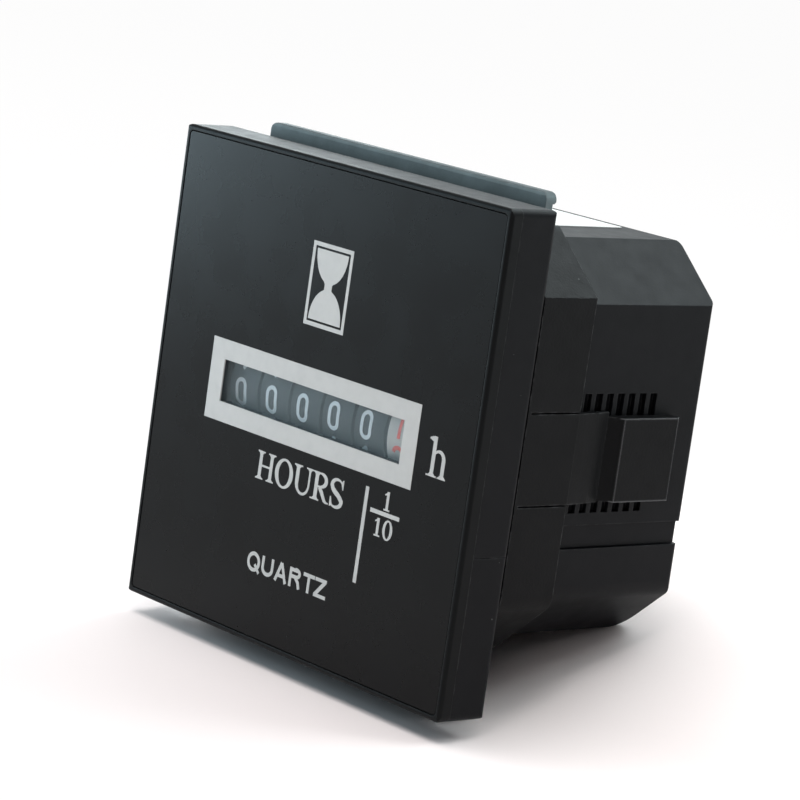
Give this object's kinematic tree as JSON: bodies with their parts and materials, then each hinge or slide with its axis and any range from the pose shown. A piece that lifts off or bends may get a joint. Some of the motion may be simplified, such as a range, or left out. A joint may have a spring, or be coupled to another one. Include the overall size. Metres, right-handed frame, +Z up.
{
  "type": "panel hour meter",
  "caption": "Square panel-mount hour counter with a drum register behind a framed window, a clamping collar on side racks and blade terminals at the rear.",
  "frame": {"origin": "centre of the seating face behind the square bezel, which lies on the panel's front", "axes": "+X to the right seen from the front, +Y to the rear through the panel, +Z up"},
  "size_m": [0.048, 0.0379, 0.0502],
  "materials": {
    "bezel_plastic": "fine satin black moulding",
    "faceplate_gloss": "smooth black",
    "white_print": "flat off-white print",
    "clear_window": "clear moulded window",
    "case_plastic": "satin black moulding",
    "collar_plastic": "rough black moulding",
    "label_paper": "bare pale label",
    "frame_plastic": "natural acetal",
    "pinion_plastic": "natural acetal",
    "wheel_green": "grey-green moulding",
    "wheel_white": "white moulding",
    "steel": "bright",
    "brass": "turned",
    "magnet": "sintered",
    "bobbin_plastic": "natural",
    "copper_wire": "enamelled copper",
    "board": "green board",
    "chip_body": "moulded",
    "capacitor_sleeve": "sleeved can",
    "resistor_body": "lacquered",
    "terminal_brass": "tinned brass"
  },
  "bodies": {
    "case": {"bezel": "bezel_plastic", "faceplate": "faceplate_gloss", "window_frame": "white_print", "window_lens": "clear_window", "housing_upper": "case_plastic", "housing_lower": "case_plastic", "top_label": "label_paper", "counter_frame": "frame_plastic", "train_plate": "frame_plastic", "wheel_shaft": "steel", "carrier_1": "frame_plastic", "carrier_2": "frame_plastic", "carrier_3": "frame_plastic", "carrier_4": "frame_plastic", "carrier_5": "frame_plastic", "stator": "steel", "coil_core": "steel", "coil_bobbin": "bobbin_plastic", "coil_winding": "copper_wire", "circuit_board": "board", "quartz_crystal": "steel", "driver_chip": "chip_body", "capacitor": "capacitor_sleeve", "resistor": "resistor_body", "terminal_left": "terminal_brass", "terminal_right": "terminal_brass"},
    "collar": {"mounting_collar": "collar_plastic"},
    "tenths": {"wheel_tenths": "wheel_white", "drive_gear": "frame_plastic"},
    "digit_1": {"wheel_1": "wheel_green"},
    "digit_2": {"wheel_2": "wheel_green"},
    "digit_3": {"wheel_3": "wheel_green"},
    "digit_4": {"wheel_4": "wheel_green"},
    "digit_5": {"wheel_5": "wheel_green"},
    "carry_1": {"carry_pinion_1": "pinion_plastic"},
    "carry_2": {"carry_pinion_2": "pinion_plastic"},
    "carry_3": {"carry_pinion_3": "pinion_plastic"},
    "carry_4": {"carry_pinion_4": "pinion_plastic"},
    "carry_5": {"carry_pinion_5": "pinion_plastic"},
    "first_shaft": {"first_arbor": "steel", "first_gear": "brass"},
    "second_shaft": {"second_arbor": "steel", "second_gear": "brass"},
    "rotor": {"rotor_arbor": "steel", "rotor_magnet": "magnet"}
  },
  "joints": [
    {"name": "collar_slide", "type": "slide", "parent": "case", "child": "collar", "axis": [0, 1, 0], "range_m": [0, 0.01]},
    {"name": "tenths_spin", "type": "hinge", "parent": "case", "child": "tenths", "pos_m": [0, 0.00095, 0.0002], "axis": [1, 0, 0], "continuous": true},
    {"name": "digit_1_spin", "type": "hinge", "parent": "case", "child": "digit_1", "pos_m": [0, 0.00095, 0.0002], "axis": [1, 0, 0], "continuous": true},
    {"name": "digit_2_spin", "type": "hinge", "parent": "case", "child": "digit_2", "pos_m": [0, 0.00095, 0.0002], "axis": [1, 0, 0], "continuous": true},
    {"name": "digit_3_spin", "type": "hinge", "parent": "case", "child": "digit_3", "pos_m": [0, 0.00095, 0.0002], "axis": [1, 0, 0], "continuous": true},
    {"name": "digit_4_spin", "type": "hinge", "parent": "case", "child": "digit_4", "pos_m": [0, 0.00095, 0.0002], "axis": [1, 0, 0], "continuous": true},
    {"name": "digit_5_spin", "type": "hinge", "parent": "case", "child": "digit_5", "pos_m": [0, 0.00095, 0.0002], "axis": [1, 0, 0], "continuous": true},
    {"name": "carry_1_spin", "type": "hinge", "parent": "case", "child": "carry_1", "pos_m": [0, 0.00417, 0.0002], "axis": [1, 0, 0], "continuous": true},
    {"name": "carry_2_spin", "type": "hinge", "parent": "case", "child": "carry_2", "pos_m": [0, 0.00417, 0.0002], "axis": [1, 0, 0], "continuous": true},
    {"name": "carry_3_spin", "type": "hinge", "parent": "case", "child": "carry_3", "pos_m": [0, 0.00417, 0.0002], "axis": [1, 0, 0], "continuous": true},
    {"name": "carry_4_spin", "type": "hinge", "parent": "case", "child": "carry_4", "pos_m": [0, 0.00417, 0.0002], "axis": [1, 0, 0], "continuous": true},
    {"name": "carry_5_spin", "type": "hinge", "parent": "case", "child": "carry_5", "pos_m": [0, 0.00417, 0.0002], "axis": [1, 0, 0], "continuous": true},
    {"name": "first_spin", "type": "hinge", "parent": "case", "child": "first_shaft", "pos_m": [0, 0.00711, 0.0002], "axis": [1, 0, 0], "continuous": true},
    {"name": "second_spin", "type": "hinge", "parent": "case", "child": "second_shaft", "pos_m": [0, 0.01191, 0.0002], "axis": [1, 0, 0], "continuous": true},
    {"name": "rotor_spin", "type": "hinge", "parent": "case", "child": "rotor", "pos_m": [0, 0.01591, 0.0002], "axis": [1, 0, 0], "continuous": true}
  ],
  "couplings": [
    {"joint": "digit_1_spin", "follows": "tenths_spin", "ratio": 0.1},
    {"joint": "digit_2_spin", "follows": "tenths_spin", "ratio": 0.01},
    {"joint": "digit_3_spin", "follows": "tenths_spin", "ratio": 0.001},
    {"joint": "digit_4_spin", "follows": "tenths_spin", "ratio": 0.0001},
    {"joint": "digit_5_spin", "follows": "tenths_spin", "ratio": 0.00001},
    {"joint": "carry_1_spin", "follows": "tenths_spin", "ratio": 0.33333},
    {"joint": "carry_2_spin", "follows": "tenths_spin", "ratio": 0.033333},
    {"joint": "carry_3_spin", "follows": "tenths_spin", "ratio": 0.0033333},
    {"joint": "carry_4_spin", "follows": "tenths_spin", "ratio": 0.00033333},
    {"joint": "carry_5_spin", "follows": "tenths_spin", "ratio": 0.000033333},
    {"joint": "first_spin", "follows": "tenths_spin", "ratio": -6},
    {"joint": "second_spin", "follows": "tenths_spin", "ratio": 30},
    {"joint": "rotor_spin", "follows": "tenths_spin", "ratio": -120}
  ]
}
